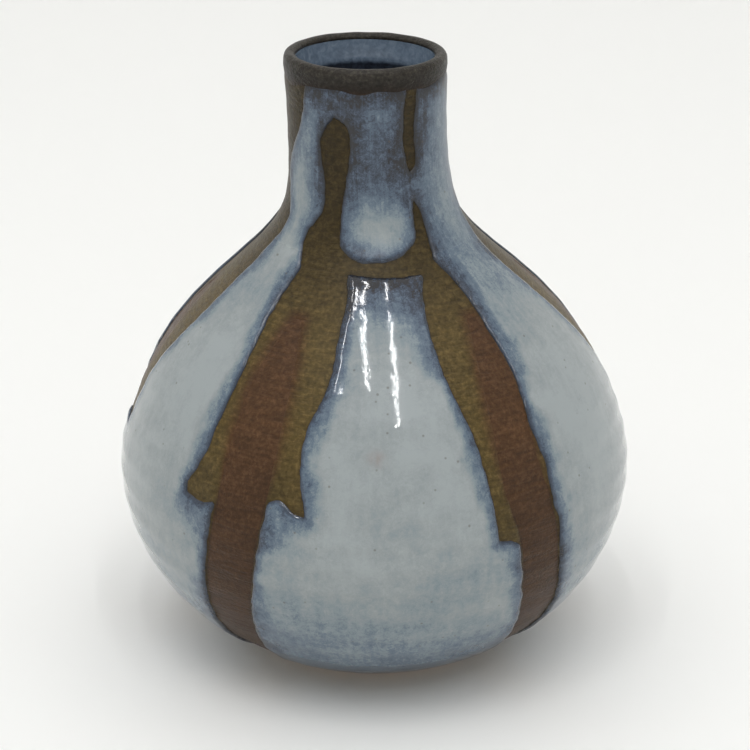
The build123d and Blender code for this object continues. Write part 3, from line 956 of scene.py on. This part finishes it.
# the liner follows the hollow, and the wall steps back under the finger's ridge
inside = spaced(insideLine(), liner["gap"])
ridge = liner["ridgeDepth"] * np.exp(-((inside[:, 1] - liner["ridgeHeight"]) / liner["ridgeHalf"]) ** 2)
ridge *= inside[:, 0] < 20
linerFace = inside + (liner["depth"] + ridge)[:, None] * squareOut(inside)
linerFace[:, 0] = np.maximum(linerFace[:, 0], 0)
linerFace[-1, 0] = 0
points, faces = turned(np.concatenate((inside[::-1], linerFace)), liner["columns"])
linerCoat = makePiece("liner_glaze_poured", points, faces, {"height": points[:, 2]})
mounted(linerCoat, linerBlueGlaze(), "liner_glaze")


def footLine():
    # from the middle of the underside out to the belly, with trimming grooves in the recess
    across = np.arange(0, pot["footInner"], 0.45)
    groove = body["trimDepth"] * np.sin(across * 2 * pi / body["trimPitch"]) * smoothStep(across / 3)
    recess = np.stack((across, pot["footRecess"] + groove), axis=1)
    r = pot["footRound"]
    innerEdge = arcLine((pot["footInner"] + r, r), r, r, pi, 1.5 * pi, 8)
    outerEdge = arcLine((pot["footOuter"] - r, r), r, r, -pi / 2, 0, 8)
    return joined(recess, innerEdge, outerEdge)


bodyLine = joined(footLine(), spaced(sideLine, body["sideGap"]), spaced(lipLine, body["lipGap"]), inside)
thrown = makePiece("stoneware_body_thrown", *turned(bodyLine, body["columns"]), {})
mounted(thrown, bareStoneware(), "stoneware_body")

studio = {
    "floor": "#f6f6f4",
    "floorRoughness": 0.7,
    "floorFlat": 2.2,  # metres out to where the paper floor curves up
    "floorBend": 1.0,
    "floorTop": 3.2,
    "world": "#ffffff",
    "wallGlow": 0.50,
    "ceilingGlow": 1.20,
    "stripHeight": 1.3,
    "strips": [  # start and end of each tube overhead, as (x, y) in metres
        ((-0.27, -0.30), (-0.39, -0.90)),
        ((-0.11, -0.30), (-0.045, -0.87)),
        ((0.17, -0.31), (0.34, -1.40)),
    ],
    "stripWidth": 0.012,
    "stripPower": 2.4,
    "stripAim": (0, -0.04, 0.09),
    "cameraPlace": (0.0, -0.525, 0.2802),
    "cameraDown": 22.03,
    "cameraRoll": 0.35,
    "lens": 111.2,
}

# white paper floor that curves up into a wall all round
flatEnd, bend = studio["floorFlat"], studio["floorBend"]
floorLine = joined(np.array([(0.0, 0.0), (flatEnd, 0.0)]), arcLine((flatEnd, bend), bend, bend, -pi / 2, 0, 16),
                   np.array([(flatEnd + bend, studio["floorTop"])]))
points, faces = turned(floorLine, 96)
floorMesh = bpy.data.meshes.new("studio_floor")
floorMesh.from_pydata(points.tolist(), [], faces)
floorMesh.shade_smooth()
floor = bpy.data.objects.new("studio_floor", floorMesh)
bpy.context.scene.collection.objects.link(floor)
whitePaper = newMaterial("whitePaper")  # matt seamless backdrop paper
paperSurface = addNode(whitePaper, "ShaderNodeBsdfPrincipled", {
    "Base Color": fromHex(studio["floor"]), "Roughness": studio["floorRoughness"]})
addNode(whitePaper, "ShaderNodeOutputMaterial", {"Surface": paperSurface})
floorMesh.materials.append(whitePaper)

# a soft white room, brighter overhead than at its walls
world = bpy.data.worlds.new("studio")
world.use_nodes = True
world.node_tree.nodes.clear()
way = addNode(world, "ShaderNodeTexCoord").outputs["Generated"]
upward = addNode(world, "ShaderNodeSeparateXYZ", {"Vector": way}).outputs["Z"]
glow = addNode(world, "ShaderNodeMapRange", {
    "Value": upward, "From Min": 0.0, "From Max": 1.0,
    "To Min": studio["wallGlow"], "To Max": studio["ceilingGlow"]})
room = addNode(world, "ShaderNodeBackground", {"Color": fromHex(studio["world"]), "Strength": glow})
addNode(world, "ShaderNodeOutputWorld", {"Surface": room})
bpy.context.scene.world = world

# three tube lights draw the streaks on the front panel
for n, places in enumerate(studio["strips"]):
    start, end = (Vector((*place, studio["stripHeight"])) for place in places)
    strip = bpy.data.lights.new(f"tube_{n}", "AREA")
    strip.shape = "RECTANGLE"
    strip.size = studio["stripWidth"]
    strip.size_y = (end - start).length
    strip.energy = studio["stripPower"] * strip.size_y
    tube = bpy.data.objects.new(f"tube_{n}", strip)
    centre = (start + end) / 2
    ahead = (end - start).normalized()
    toPot = (Vector(studio["stripAim"]) - centre).normalized()
    side = ahead.cross(toPot).normalized()
    back = side.cross(ahead).normalized()
    tube.matrix_world = Matrix.Translation(centre) @ Matrix((side, ahead, -back)).transposed().to_4x4()
    bpy.context.scene.collection.objects.link(tube)

camera = bpy.data.objects.new("camera", bpy.data.cameras.new("camera"))
camera.data.lens = studio["lens"]
camera.data.sensor_width = 36
camera.location = studio["cameraPlace"]
tilt = Matrix.Rotation(radians(90 - studio["cameraDown"]), 4, "X")
roll = Matrix.Rotation(radians(studio["cameraRoll"]), 4, "Z")
camera.rotation_euler = (tilt @ roll).to_euler()
bpy.context.scene.collection.objects.link(camera)
bpy.context.scene.camera = camera
bpy.context.scene.view_settings.view_transform = "Standard"
print("stage set")
